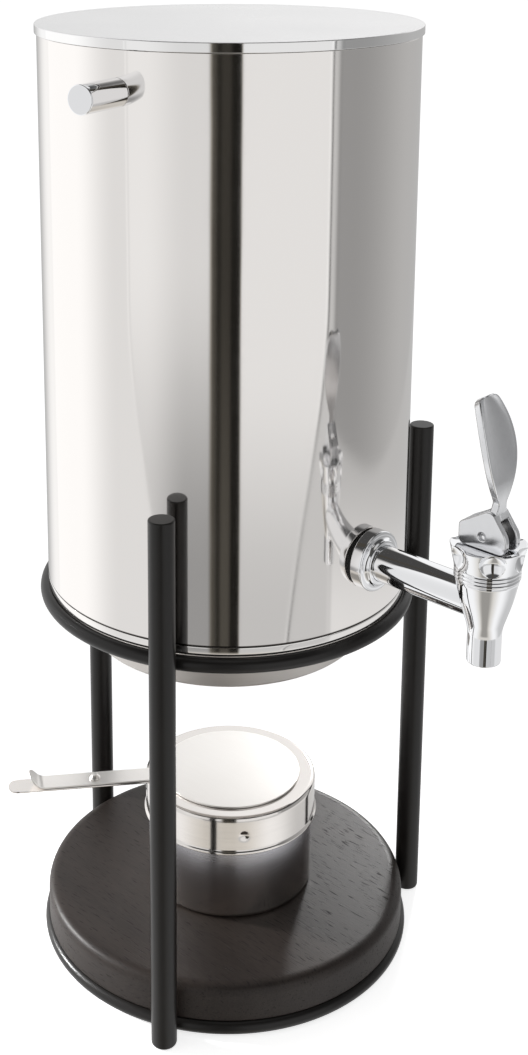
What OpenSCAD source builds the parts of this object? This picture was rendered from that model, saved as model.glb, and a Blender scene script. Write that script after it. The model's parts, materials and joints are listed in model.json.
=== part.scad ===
// Coffee dispenser: a polished steel urn with a lever tap, standing on a three-post stand
// with a wooden base, warmed by a fuel burner with a swinging damper.
// All sizes are in millimetres. The stand's axis is Z, the floor is z = 0 and the tap points along -Y.

/* [Urn] */
// outside diameter of the tank
tank_d = 220; // [190:1:250]
// height of the tank's straight wall
tank_h = 329; // [240:1:400]
// thickness of the tank's sheet
tank_wall = 1.2; // [0.8:0.1:2]
// depth of the heating pan below the support ring's top
pan_depth = 34; // [20:1:45]
// radius of the pan's flat bottom
pan_r = 81; // [60:1:90]
// height of the rolled bead between the pan and the wall
bead_h = 6; // [4:0.5:10]

/* [Lid] */
// height of the lid's rim
lid_rim_h = 5.4; // [4:0.2:10]
// how far the rim stands out past the tank
lid_over = 1.3; // [0.5:0.1:1.4]
// depth of the skirt that goes inside the tank
lid_skirt_h = 11; // [6:1:14]

/* [Carrying pegs] */
// diameter of a peg
peg_d = 16; // [12:0.5:22]
// length of a peg outside the tank
peg_l = 31; // [20:1:45]
// height of the pegs' axis below the tank's top edge
peg_drop = 22.5; // [22:0.5:40]
// angle of the first peg from the tap
peg_turn = -79; // [-90:1:-60]

/* [Stand] */
// diameter of a post
post_d = 15; // [12:0.5:20]
// height of the posts
post_h = 327.5; // [280:0.5:360]
// thickness of the ring that carries the urn
ring_d = 8.8; // [7:0.2:12]
// height of the support ring's centre line
ring_z = 236.3; // [200:0.1:260]
// width of the weld between a ring and a post
weld_gap = 3; // [1.5:0.5:5]
// angle by which the stand is turned under the urn
stand_turn = -3; // [-10:1:10]
// thickness of the wooden base
wood_h = 22.9; // [16:0.1:30]
// radius of the wooden base's rounded upper edge
wood_round = 6; // [2:0.5:8]

/* [Tap] */
// height of the tap's shank above the tank's lower edge
tap_rise = 39; // [36:1:60]
// distance from the tank's wall to the tap's upright axis
tap_reach = 80; // [70:1:100]
// diameter of the shank
shank_d = 20.8; // [19:0.2:24]
// diameter of the flange against the tank
flange_d = 35; // [32:0.5:40]
// diameter of the outlet
outlet_d = 11; // [9:0.5:12]
// diameter of the stem
stem_d = 6; // [5:0.2:7]
// number of scoops round the bonnet
scoop_count = 6; // [5:1:8]
// width of the lever's fork
fork_w = 14; // [13:0.5:18]
// widest part of the lever's paddle
paddle_w = 27; // [22:0.5:32]

/* [Burner] */
// outside diameter of the fuel cup
cup_d = 104.8; // [90:0.2:110]
// height of the fuel cup
cup_h = 69.3; // [60:0.1:90]
// thickness of the burner's sheet
sheet = 1.2; // [0.8:0.1:1.6]
// depth of the collar's skirt
collar_h = 24.8; // [16:0.2:35]
// diameter of the flame opening
flame_d = 64; // [40:1:72]
// diameter of the damper's plate
damper_d = 88.4; // [80:0.2:92]
// width of the handle strips
strip_w = 14; // [10:0.5:18]
// distance from the burner's axis to the end of its handle
handle_l = 141.5; // [120:0.5:160]
// direction of the burner's handle, from the tap
handle_turn = -127.7; // [-140:0.1:-110]

/* [Hidden] */
$fn = 96;
// number of sides of a round that cuts a piece to the tank's curve
fine = 480;
// gap between pieces that come apart
loose = 0.3;
// gap round a turning or sliding pin
running = 0.05;
// gap between pieces that are fixed together
seat = 0.1;
// gap round a pressed pin
pressed = 0.01;
// how far a cutting shape runs past the face it cuts
past = 1;

// Stand
post_r = post_d / 2;
post_top_round = 1.2;
post_foot_round = 2;
ring_tube = ring_d / 2;
tank_r = tank_d / 2;
ring_out = 0.6;
ring_r = tank_r + ring_out;
post_circle = ring_r + ring_tube + weld_gap + post_r;
base_ring_out = 1.8;
base_ring_r = ring_r + base_ring_out;
post_turns = [-60, 60, 180];
lug_turns = [0, 120, 240];
weld_r = ring_tube * 0.8;
floor_gap = 0.2;
base_ring_z = ring_tube + floor_gap;
wood_over = 3.6;
wood_r = ring_r + wood_over;
wood_z = base_ring_z + ring_tube + seat;
wood_top = wood_z + wood_h;
wood_bevel = 1;
lug_t = 3;
lug_w = 16;
lug_l = 34;
lug_hole_in = 24;
lug_hole_at = ring_r - lug_hole_in;
lug_z = wood_z - seat - lug_t;
wood_screw_r = 2;
wood_screw_l = 14;
wood_screw_head_r = 4;
wood_screw_head_h = 2.4;

// Urn
bead_round = 1.5;
pan_seat_reach = bead_round + ring_tube + loose;
pan_seat_in = ring_r - (tank_r - bead_round);
pan_seat_z = ring_z + sqrt(pan_seat_reach * pan_seat_reach - pan_seat_in * pan_seat_in) - bead_round;
pan_z = pan_seat_z - pan_depth;
pan_shoulder_in = 6.5;
pan_shoulder_r = tank_r - pan_shoulder_in;
pan_bevel = 4;
pan_bevel_h = 2.4;
wall_z = pan_seat_z + bead_h;
wall_top = wall_z + tank_h;
lap_h = 8;
tank_in = tank_r - tank_wall;
// how far a piece set on the tank's curve reaches in before it is cut to the curve
wall_dip = 4;

// Lid
lid_z = wall_top + loose;
lid_r = tank_r + lid_over;
lid_top = lid_z + lid_rim_h;
lid_sheet = 1.5;
lid_bevel = 0.9;
skirt_gap = 1.2;
skirt_r = tank_in - skirt_gap;
skirt_t = 1.5;
skirt_flange = 8;

// Pegs
peg_z = wall_top - peg_drop;
peg_r = peg_d / 2;
peg_bevel = 0.8;
peg_screw_r = 3;
peg_screw_l = 15;
peg_screw_head_r = 5;
peg_screw_head_h = 3.4;
peg_screw_gap = 0.2;

// Tap
tap_y = tank_r + tap_reach;
shank_z = wall_z + tap_rise;
shank_r = shank_d / 2;
thread_step = 0.5;
tail_r = shank_r - thread_step;
tail_in = 12;
passage_r = 6.5;
gasket_inset = 1;
gasket_r = flange_d / 2 - gasket_inset;
inner_gasket_r = gasket_r - 2 * gasket_inset;
gasket_t = 2.4;
flange_t = 6;
hub_wall = 3;
hub_fillet = 1;
hub_taper = 0.8;
flange_hub_r = shank_r + hub_wall;
flange_hub_t = 3;
flange_bevel = 1.2;
nut_across = 32;
nut_t = 6;
inner_gasket_t = 3;
nozzle_wall = 3.3;
nozzle_r = outlet_d / 2 + nozzle_wall;
nozzle_bevel = 0.6;
nozzle_fillet = 2;
nozzle_l = 13.5;
cone_h = 36;
nozzle_drop = 34;
nozzle_z = shank_z - nozzle_drop;
cone_z = nozzle_z + nozzle_l;
body_r = 17.2;
body_edge = 1.5;
body_bevel = 0.4;
body_top = cone_z + cone_h;
chamber_r = 10;
spigot_r = 12.9;
spigot_h = 9.4;
outlet_l = 20;
seat_cone_h = 9;
seat_cone_z = nozzle_z + outlet_l;
chamber_z = seat_cone_z + seat_cone_h;
bonnet_z = body_top + seat;
bonnet_h = 16.3;
bonnet_face = bonnet_z + bonnet_h;
bonnet_cap = 5.6;
bonnet_low_r = 17.8;
bonnet_skirt_h = 5.6;
bonnet_top_r = 20.6;
bonnet_peak = 2.6;
bonnet_flat_r = 14;
groove = 0.7;
groove_rows = [0.9, 2.8];
scoop_r = 9;
scoop_at = 24;
scoop_drop = 3.4;
scoop_turn = 11;
stem_r = stem_d / 2;
stem_collar_r = 8;
stem_collar_t = 2;
stem_collar_z = chamber_z - stem_collar_t;
cup_low_r = outlet_d / 2 + loose;
cup_high_r = 8.4;
cup_rise = 1.3;
cup_floor = 1.5;
cup_low_z = seat_cone_z + cup_rise;
stem_z = cup_low_z + cup_floor;
spring_r = 7.4;
spring_wire = 0.8;
spring_turns = 7;
spring_z = stem_collar_z + stem_collar_t + spring_wire + seat;
spring_top = bonnet_face - bonnet_cap - spring_wire - seat;
spring_turn_steps = 12;
spring_steps = spring_turns * spring_turn_steps;
spring_sides = 6;

// Lever: outward distance and height are counted from the pin
cam_r = 5;
cam_out = 10;
pin_lift = 7.4;
pin_z = bonnet_face + loose + pin_lift;
pin_r = 2;
pin_inset = 0.5;
heel_r = 4;
heel_out = 11;
fork_h = 14.5;
fork_front_h = 2.6;
fork_top_out = 6;
fork_top_in = 2;
fork_back_out = 7;
fork_back_h = 9;
fork_heel_h = 4.5;
tongue_flat = 0.2;
tongue_w = stem_d - 2 * tongue_flat;
tongue_r = 5.6;
tongue_rise = 0.4;
tongue_root = 0.5;
slot_w = stem_d + 2 * loose;
slot_roof = 10;
slot_back = 8;
sweep_r = 92.8;
sweep_out = -86.7;
sweep_up = 28.2;
sweep_from = -11;
sweep_to = 30.3;
paddle_t = 4.4;
paddle_mid = 51;
paddle_round = 54;
neck_w = 9;
neck_from = 8;
neck_to = 30;
dish_r = 22;
dish_depth = 1.5;
dish_from = 7;
dish_past = 4;

// Burner
burner_in = 3.1;
cup_r = cup_d / 2;
burner_z = wood_top + seat;
cup_round = 3;
collar_gap = 0.6;
collar_in = cup_r + collar_gap;
collar_r = collar_in + sheet;
collar_top = burner_z + cup_h + loose + sheet;
collar_z = collar_top - collar_h;
lip_h = 2.4;
lip_out = 1;
lip_edge = 1;
dimple_r = 3;
dimple_depth = 0.7;
dimple_z = collar_z + collar_h / 2;
collar_edge = 1.8;
strip_lap = 6;
damper_gap = 0.2;
damper_z = collar_top + damper_gap;
arm_lap = 8;
rivet_out = 32.8;
rivet_at = collar_r + rivet_out;
rivet_r = 2;
rivet_head_r = 3.5;
rivet_head_h = 2.4;
rivet_foot_h = 1.2;
tab_back = 20.5;
tab_at = handle_l - tab_back;
tab_l = 14;
tab_tilt = 52;

black = [0.16, 0.15, 0.15];
steel = [0.82, 0.82, 0.84];
satin = [0.74, 0.74, 0.75];
chrome = [0.88, 0.88, 0.9];
wood = [0.2, 0.14, 0.12];
rubber = [0.1, 0.1, 0.1];

// Places a piece built along -Y at an angle from the tap.
module turned(angle)
{
    rotate([0, 0, angle])
    children();
}

// A rod along -Y, from one distance from the axis to another.
module rod_out(from, to, radius)
{
    translate([0, -from, 0])
    rotate([90, 0, 0])
    cylinder(h = to - from, r = radius);
}

// Turns a flat drawing of outward distance and height upright, across the tap's plane.
module across(width)
{
    rotate([90, 0, -90])
    linear_extrude(height = width, center = true)
    children();
}

// Points of a quarter arc, for rounded edges of turned pieces.
function arc(x, y, r, from, to, steps) =
    [for (i = [0:steps]) let (a = from + (to - from) * i / steps) [x + r * cos(a), y + r * sin(a)]];

// Stand

module post(angle)
{
    turned(stand_turn + angle)
    translate([0, -post_circle, 0])
    rotate_extrude()
    polygon(concat([[0, 0]],
                   arc(post_r - post_foot_round, post_foot_round, post_foot_round, -90, 0, 5),
                   arc(post_r - post_top_round, post_h - post_top_round, post_top_round, 0, 90, 5),
                   [[0, post_h]]));
}

module post_front_left()
{
    color(black)
    post(post_turns[0]);
}

module post_front_right()
{
    color(black)
    post(post_turns[1]);
}

module post_rear()
{
    color(black)
    post(post_turns[2]);
}

// A bent rod ring with the weld that joins it to each post.
module welded_ring(z, radius)
{
    difference()
    {
        union()
        {
            translate([0, 0, z])
            rotate_extrude()
            translate([radius, 0])
            rotate(180)
            circle(r = ring_tube);
            for (angle = post_turns)
                turned(stand_turn + angle)
                translate([0, 0, z])
                rod_out(radius, post_circle - post_r + weld_r / 2, weld_r);
        }
        for (angle = post_turns)
            turned(stand_turn + angle)
            translate([0, -post_circle, z - ring_d])
            cylinder(h = 2 * ring_d, r = post_r + running);
    }
}

module support_ring()
{
    color(black)
    welded_ring(ring_z, ring_r);
}

// The base ring has three flat lugs on its inner side for the wooden base.
module base_ring()
{
    color(black)
    difference()
    {
        union()
        {
            welded_ring(base_ring_z, base_ring_r);
            for (angle = lug_turns)
                turned(stand_turn + angle)
                translate([-lug_w / 2, -ring_r, lug_z])
                cube([lug_w, lug_l, lug_t]);
        }
        for (angle = lug_turns)
            turned(stand_turn + angle)
            translate([0, -lug_hole_at, lug_z - past])
            cylinder(h = lug_t + 2 * past, r = wood_screw_r + seat);
    }
}

module base_disc()
{
    color(wood)
    difference()
    {
        rotate_extrude()
        polygon(concat([[0, wood_z], [wood_r - wood_bevel, wood_z], [wood_r, wood_z + wood_bevel]],
                       arc(wood_r - wood_round, wood_top - wood_round, wood_round, 0, 90, 8),
                       [[0, wood_top]]));
        for (angle = lug_turns)
            turned(stand_turn + angle)
            translate([0, -lug_hole_at, wood_z - past])
            cylinder(h = wood_screw_l, r = wood_screw_r + running);
    }
}

module base_screws()
{
    color(satin)
    for (angle = lug_turns)
        turned(stand_turn + angle)
        translate([0, -lug_hole_at, lug_z - seat])
        {
            cylinder(h = wood_screw_l, r = wood_screw_r);
            translate([0, 0, -wood_screw_head_h])
            cylinder(h = wood_screw_head_h, r = wood_screw_head_r);
        }
}

// Urn

module tank_shell()
{
    color(steel)
    difference()
    {
        translate([0, 0, wall_z])
        cylinder(h = tank_h, r = tank_r);
        translate([0, 0, wall_z - past])
        cylinder(h = tank_h + 2 * past, r = tank_in);
        translate([0, 0, shank_z])
        rod_out(tank_in - wall_dip, tank_r + past, tail_r + seat);
        for (side = [0, 180])
            turned(peg_turn + side)
            translate([0, 0, peg_z])
            rod_out(tank_in - wall_dip, tank_r + past, peg_screw_r + seat);
    }
}

// The pan closes the tank: a rolled bead that stands on the ring, a lip inside the wall,
// and a tapered well that hangs through the ring over the flame.
module tank_pan()
{
    w = tank_wall;
    lip_r = tank_in - seat;
    slope_r = pan_r + pan_bevel;
    color(steel)
    rotate_extrude()
    polygon(concat([[0, pan_z], [pan_r, pan_z], [slope_r, pan_z + pan_bevel_h],
                    [pan_shoulder_r, pan_seat_z]],
                   arc(tank_r - bead_round, pan_seat_z + bead_round, bead_round, -90, 0, 5),
                   [[tank_r, wall_z - seat], [lip_r, wall_z - seat], [lip_r, wall_z + lap_h],
                    [lip_r - w, wall_z + lap_h], [lip_r - w, pan_seat_z + w],
                    [pan_shoulder_r - w, pan_seat_z + w], [slope_r - w, pan_z + pan_bevel_h + w],
                    [pan_r - w, pan_z + w], [0, pan_z + w]]));
}

module lid_cover()
{
    color(steel)
    rotate_extrude()
    polygon(concat([[0, lid_top - lid_sheet], [lid_r - lid_sheet, lid_top - lid_sheet],
                    [lid_r - lid_sheet, lid_z], [lid_r, lid_z]],
                   arc(lid_r - lid_bevel, lid_top - lid_bevel, lid_bevel, 0, 90, 4),
                   [[0, lid_top]]));
}

module lid_skirt()
{
    skirt_in = skirt_r - skirt_t;
    flange_in = skirt_in - skirt_flange;
    flange_top = lid_top - lid_sheet - seat;
    color(satin)
    rotate_extrude()
    polygon([[skirt_in, lid_z - lid_skirt_h], [skirt_r, lid_z - lid_skirt_h], [skirt_r, flange_top],
             [flange_in, flange_top], [flange_in, flange_top - skirt_t], [skirt_in, flange_top - skirt_t]]);
}

// A turned peg, hollowed to the tank's curve and tapped for the screw that holds it.
module peg(angle)
{
    end = wall_dip + peg_l;
    turned(peg_turn + angle)
    difference()
    {
        translate([0, -tank_r + wall_dip, peg_z])
        rotate([90, 0, 0])
        rotate_extrude()
        polygon([[0, 0], [peg_r, 0], [peg_r, end - peg_bevel], [peg_r - peg_bevel, end], [0, end]]);
        translate([0, 0, peg_z - peg_d])
        cylinder(h = 2 * peg_d, r = tank_r + seat, $fn = fine);
        translate([0, 0, peg_z])
        rod_out(tank_in - past, tank_in + peg_screw_l + past, peg_screw_r + running);
    }
}

module peg_left()
{
    color(chrome)
    peg(0);
}

module peg_right()
{
    color(chrome)
    peg(180);
}

module peg_screws()
{
    head_at = tank_in - peg_screw_gap;
    color(satin)
    for (side = [0, 180])
        turned(peg_turn + side)
        translate([0, 0, peg_z])
        {
            rod_out(head_at - past, head_at + peg_screw_l, peg_screw_r);
            rod_out(head_at - peg_screw_head_h, head_at, peg_screw_head_r);
        }
}

// Tap

module tap_flange()
{
    back = tank_r + gasket_t + seat;
    color(chrome)
    difference()
    {
        translate([0, -back, shank_z])
        rotate([90, 0, 0])
        rotate_extrude()
        polygon([[0, 0], [flange_d / 2, 0], [flange_d / 2, flange_t - flange_bevel],
                 [flange_d / 2 - flange_bevel, flange_t], [flange_hub_r + hub_fillet, flange_t],
                 [flange_hub_r, flange_t + hub_fillet], [flange_hub_r - hub_taper, flange_t + flange_hub_t],
                 [0, flange_t + flange_hub_t]]);
        translate([0, 0, shank_z])
        rod_out(tank_r, back + flange_t + flange_hub_t + past, shank_r + running);
    }
}

// A rubber washer cut to the outside of the tank.
module tap_outer_gasket()
{
    color(rubber)
    difference()
    {
        translate([0, 0, shank_z])
        rod_out(tank_r - wall_dip, tank_r + gasket_t, gasket_r);
        translate([0, 0, shank_z - flange_d])
        cylinder(h = 2 * flange_d, r = tank_r + seat, $fn = fine);
        translate([0, 0, shank_z])
        rod_out(tank_r - wall_dip - past, tank_r + gasket_t + past, tail_r + seat);
    }
}

// A rubber washer cut to the inside of the tank.
module tap_inner_gasket()
{
    color(rubber)
    difference()
    {
        intersection()
        {
            translate([0, 0, shank_z])
            rod_out(tank_in - inner_gasket_t, tank_in + past, inner_gasket_r);
            translate([0, 0, shank_z - flange_d])
            cylinder(h = 2 * flange_d, r = tank_in - seat, $fn = fine);
        }
        translate([0, 0, shank_z])
        rod_out(tank_in - inner_gasket_t - past, tank_in + 2 * past, tail_r + seat);
    }
}

module tap_nut()
{
    nut_out = tank_in - inner_gasket_t - seat;
    color(chrome)
    difference()
    {
        translate([0, -(nut_out - nut_t), shank_z])
        rotate([90, 0, 0])
        cylinder(h = nut_t, d = nut_across / cos(30), $fn = 6);
        translate([0, 0, shank_z])
        rod_out(nut_out - nut_t - past, nut_out + past, tail_r + running);
    }
}

// One casting: the threaded tail through the wall, the shank, the chamber and the tapered nozzle.
module tap_body()
{
    shoulder = tank_r + gasket_t + seat;
    spigot_top = body_top + spigot_h;
    color(chrome)
    difference()
    {
        union()
        {
            translate([0, 0, shank_z])
            {
                rod_out(tank_in - tail_in, shoulder + past, tail_r);
                rod_out(shoulder, tap_y, shank_r);
            }
            translate([0, -tap_y, 0])
            rotate_extrude()
            polygon([[0, nozzle_z], [nozzle_r - nozzle_bevel, nozzle_z],
                     [nozzle_r, nozzle_z + nozzle_bevel],
                     [nozzle_r, cone_z - nozzle_fillet], [nozzle_r + nozzle_bevel, cone_z + nozzle_fillet],
                     [body_r - body_bevel, body_top - body_edge - 2 * body_bevel],
                     [body_r, body_top - body_edge], [body_r, body_top], [spigot_r, body_top],
                     [spigot_r, spigot_top], [0, spigot_top]]);
        }
        translate([0, -tap_y, 0])
        rotate_extrude()
        polygon([[0, nozzle_z - past], [outlet_d / 2, nozzle_z - past], [outlet_d / 2, seat_cone_z],
                 [chamber_r, chamber_z], [chamber_r, spigot_top + past], [0, spigot_top + past]]);
        translate([0, 0, shank_z])
        rod_out(tank_in - tail_in - past, tap_y, passage_r);
    }
}

// The bonnet screws onto the body. Round scoops are cut into its flared side, below the rim.
module tap_bonnet()
{
    skirt_top = bonnet_z + bonnet_skirt_h;
    grooves = [for (row = groove_rows) each [[bonnet_low_r, bonnet_z + row],
                                             [bonnet_low_r - groove, bonnet_z + row + groove],
                                             [bonnet_low_r, bonnet_z + row + 2 * groove]]];
    color(chrome)
    translate([0, -tap_y, 0])
    difference()
    {
        rotate_extrude()
        polygon(concat([[stem_r + running, bonnet_face - bonnet_cap],
                        [spigot_r + seat, bonnet_face - bonnet_cap],
                        [spigot_r + seat, bonnet_z], [bonnet_low_r, bonnet_z]],
                       grooves,
                       [[bonnet_low_r, skirt_top - groove], [bonnet_low_r - groove, skirt_top],
                        [bonnet_low_r, skirt_top + groove], [bonnet_top_r, bonnet_face + bonnet_peak],
                        [bonnet_flat_r, bonnet_face], [stem_r + running, bonnet_face]]));
        for (i = [0:scoop_count - 1])
            turned(scoop_turn + i * 360 / scoop_count)
            translate([0, -scoop_at, bonnet_face - scoop_drop])
            sphere(r = scoop_r);
    }
}

// A round stem with a spring collar, flattened at the top into a tongue for the lever's pin.
module tap_stem()
{
    tongue_z = pin_z - pin_lift + tongue_rise;
    color(satin)
    translate([0, -tap_y, 0])
    difference()
    {
        union()
        {
            translate([0, 0, stem_z])
            cylinder(h = tongue_z + tongue_root - stem_z, r = stem_r);
            translate([0, 0, stem_collar_z])
            cylinder(h = stem_collar_t, r = stem_collar_r);
            translate([0, 0, pin_z])
            across(tongue_w)
            union()
            {
                circle(r = tongue_r);
                translate([-tongue_r, -pin_lift + tongue_rise])
                square([2 * tongue_r, pin_lift]);
            }
        }
        translate([0, 0, pin_z])
        across(fork_w)
        circle(r = pin_r + pressed);
    }
}

module tap_seat_cup()
{
    color(rubber)
    translate([0, -tap_y, 0])
    difference()
    {
        translate([0, 0, cup_low_z])
        cylinder(h = stem_collar_z - seat - cup_low_z, r1 = cup_low_r, r2 = cup_high_r);
        translate([0, 0, stem_z - running])
        cylinder(h = seat_cone_h, r = stem_r + running);
    }
}

// The closing spring, one unbroken wire wound round the stem.
function spring_point(i) =
    let (a = 360 * spring_turns * i / spring_steps)
    [spring_r * cos(a), spring_r * sin(a), spring_z + (spring_top - spring_z) * i / spring_steps];
function spring_ring(i) =
    let (a = 360 * spring_turns * i / spring_steps, p = spring_point(i))
    [for (j = [0:spring_sides - 1])
        let (b = 360 * j / spring_sides)
        p + spring_wire * [cos(b) * cos(a), cos(b) * sin(a), sin(b)]];
spring_pitch = (spring_top - spring_z) / spring_turns;
echo(spring_gap = spring_pitch - 2 * spring_wire);

module tap_spring()
{
    n = spring_sides;
    last = spring_steps * n;
    points = [for (i = [0:spring_steps]) each spring_ring(i)];
    sides = [for (i = [0:spring_steps - 1]) for (j = [0:n - 1])
        let (a = i * n + j, b = i * n + (j + 1) % n)
        each [[a, a + n, b + n], [a, b + n, b]]];
    ends = [for (j = [1:n - 2]) each [[0, j, j + 1], [last, last + j + 1, last + j]]];
    color(satin)
    translate([0, -tap_y, 0])
    polyhedron(points = points, faces = concat(sides, ends));
}

module lever_pin()
{
    color(satin)
    translate([0, -tap_y, pin_z])
    across(fork_w - 2 * pin_inset)
    circle(r = pin_r);
}

// Outline of the fork, with the round cam that rides on the bonnet at its outer foot.
module fork_outline()
{
    cam_end = cam_out + cam_r;
    heel_end = heel_out + heel_r;
    polygon([[-heel_out, -pin_lift], [cam_out, -pin_lift], [cam_end, -pin_lift + cam_r],
             [cam_end, fork_front_h], [fork_top_out, fork_h], [fork_top_in, fork_h],
             [-fork_back_out, fork_back_h], [-heel_end, fork_heel_h], [-heel_end, -pin_lift + heel_r]]);
    translate([cam_out, -pin_lift + cam_r])
    circle(r = cam_r);
    translate([-heel_out, -pin_lift + heel_r])
    circle(r = heel_r);
}

// A strip swept along the lever's curve, between two distances from the curve's centre.
module swept(from, to, inner, outer, width)
{
    translate([0, -sweep_out, sweep_up])
    rotate([90, 0, -90])
    rotate([0, 0, from])
    rotate_extrude(angle = to - from)
    translate([inner, -width / 2])
    square([outer - inner, width]);
}

// The paddle's outline seen from the front: two arcs that meet at the neck.
module paddle_outline()
{
    offset_x = paddle_round - paddle_w / 2;
    intersection()
    {
        translate([offset_x, paddle_mid])
        circle(r = paddle_round);
        translate([-offset_x, paddle_mid])
        circle(r = paddle_round);
    }
    translate([-neck_w / 2, neck_from])
    square([neck_w, neck_to - neck_from]);
}

module tap_lever()
{
    dish_at = sweep_r + paddle_t / 2 + dish_r - dish_depth;
    sweep_w = paddle_w + 2 * past;
    color(chrome)
    translate([0, -tap_y, pin_z])
    difference()
    {
        union()
        {
            across(fork_w)
            fork_outline();
            intersection()
            {
                swept(sweep_from, sweep_to, sweep_r - paddle_t / 2, sweep_r + paddle_t / 2, sweep_w);
                rotate([90, 0, 0])
                linear_extrude(height = sweep_r, center = true)
                paddle_outline();
            }
        }
        translate([-slot_w / 2, -(cam_out + cam_r + past), -pin_lift - past])
        cube([slot_w, cam_out + cam_r + past + slot_back, pin_lift + past + slot_roof]);
        across(fork_w + 2 * past)
        circle(r = pin_r + running);
        translate([0, -sweep_out, sweep_up])
        rotate([90, 0, -90])
        rotate([0, 0, dish_from])
        rotate_extrude(angle = sweep_to - dish_from + dish_past)
        translate([dish_at, 0])
        circle(r = dish_r);
        translate([0, -sweep_out, sweep_up])
        rotate([90, 0, -90])
        rotate([0, 0, dish_from])
        translate([dish_at, 0, 0])
        sphere(r = dish_r);
    }
}

// Burner

// Places the burner on the base with its handle pointing out between two posts.
module on_base()
{
    turned(handle_turn)
    translate([0, burner_in, 0])
    children();
}

module fuel_cup()
{
    color(satin)
    on_base()
    rotate_extrude()
    polygon(concat([[0, burner_z]],
                   arc(cup_r - cup_round, burner_z + cup_round, cup_round, -90, 0, 5),
                   [[cup_r, burner_z + cup_h], [cup_r - sheet, burner_z + cup_h]],
                   arc(cup_r - cup_round, burner_z + cup_round, cup_round - sheet, 0, -90, 5),
                   [[0, burner_z + sheet]]));
}

// A flat strip along -Y with a round end.
module strip(from, to, z)
{
    translate([-strip_w / 2, -(to - strip_w / 2), z])
    cube([strip_w, to - strip_w / 2 - from, sheet]);
    translate([0, -(to - strip_w / 2), z])
    cylinder(h = sheet, d = strip_w);
}

// A pressed cap over the cup, with the flame opening and the lower handle strip in its top sheet.
module fuel_collar()
{
    color(satin)
    on_base()
    difference()
    {
        union()
        {
            rotate_extrude()
            polygon(concat([[flame_d / 2, collar_top - sheet], [collar_in, collar_top - sheet],
                            [collar_in, collar_z], [collar_r + lip_out, collar_z],
                            [collar_r + lip_out, collar_z + lip_edge], [collar_r, collar_z + lip_h]],
                           arc(collar_r - collar_edge, collar_top - collar_edge, collar_edge, 0, 90, 5),
                           [[flame_d / 2, collar_top]]));
            strip(collar_r - strip_lap, handle_l, collar_top - sheet);
        }
        for (angle = [0:90:270])
            turned(angle)
            translate([0, -(collar_r + dimple_r - dimple_depth), dimple_z])
            sphere(r = dimple_r);
        translate([0, -rivet_at, collar_top - sheet - past])
        cylinder(h = sheet + 2 * past, r = rivet_r + pressed);
    }
}

// The damper: a round plate over the flame opening, its arm, and a thumb tab bent up at the end.
module damper()
{
    color(satin)
    on_base()
    difference()
    {
        union()
        {
            translate([0, 0, damper_z])
            cylinder(h = sheet, d = damper_d);
            translate([-strip_w / 2, -tab_at, damper_z])
            cube([strip_w, tab_at - damper_d / 2 + arm_lap, sheet]);
            translate([0, -tab_at, damper_z])
            rotate([-tab_tilt, 0, 0])
            strip(0, tab_l, 0);
            translate([0, -tab_at, damper_z])
            rotate([0, 90, 0])
            cylinder(h = strip_w, d = sheet, center = true);
        }
        translate([0, -rivet_at, damper_z - past])
        cylinder(h = sheet + 2 * past, r = rivet_r + running);
        translate([-strip_w, -tab_at - tab_l, damper_z - sheet])
        cube([2 * strip_w, 2 * tab_l, sheet]);
    }
}

// The rivet that the damper swings on, with a domed head above and a flat head below.
module damper_rivet()
{
    low = collar_top - sheet - seat;
    high = damper_z + sheet + seat;
    dome_r = (rivet_head_r * rivet_head_r + rivet_head_h * rivet_head_h) / (2 * rivet_head_h);
    color(steel)
    on_base()
    translate([0, -rivet_at, 0])
    {
        translate([0, 0, low - rivet_foot_h])
        cylinder(h = rivet_foot_h, r = rivet_head_r);
        translate([0, 0, low - rivet_foot_h / 2])
        cylinder(h = high - low + rivet_foot_h, r = rivet_r);
        intersection()
        {
            translate([0, 0, high + rivet_head_h - dome_r])
            sphere(r = dome_r);
            translate([0, 0, high])
            cylinder(h = rivet_head_h + past, r = rivet_head_r);
        }
    }
}

post_front_left();
post_front_right();
post_rear();
support_ring();
base_ring();
base_disc();
base_screws();
tank_shell();
tank_pan();
lid_cover();
lid_skirt();
peg_left();
peg_right();
peg_screws();
tap_flange();
tap_outer_gasket();
tap_inner_gasket();
tap_nut();
tap_body();
tap_bonnet();
tap_stem();
tap_seat_cup();
tap_spring();
lever_pin();
tap_lever();
fuel_cup();
fuel_collar();
damper();
damper_rivet();
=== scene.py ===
# %% [markdown]
# # A coffee dispenser, dressed over its CAD frame
# The real object is a mirror-polished steel urn on a black three-post stand, with a chrome lever tap,
# a dark wooden base and a small fuel burner. The CAD model already holds every size and joint, so it is
# loaded first as a fixed frame. Each visible CAD piece is then replaced by a finer mesh in the same place,
# because mirror finishes show every facet and want softly rounded edges.

# %% Load the frame
import json
import math

import bmesh
import bpy
from mathutils import Matrix, Vector


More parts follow.
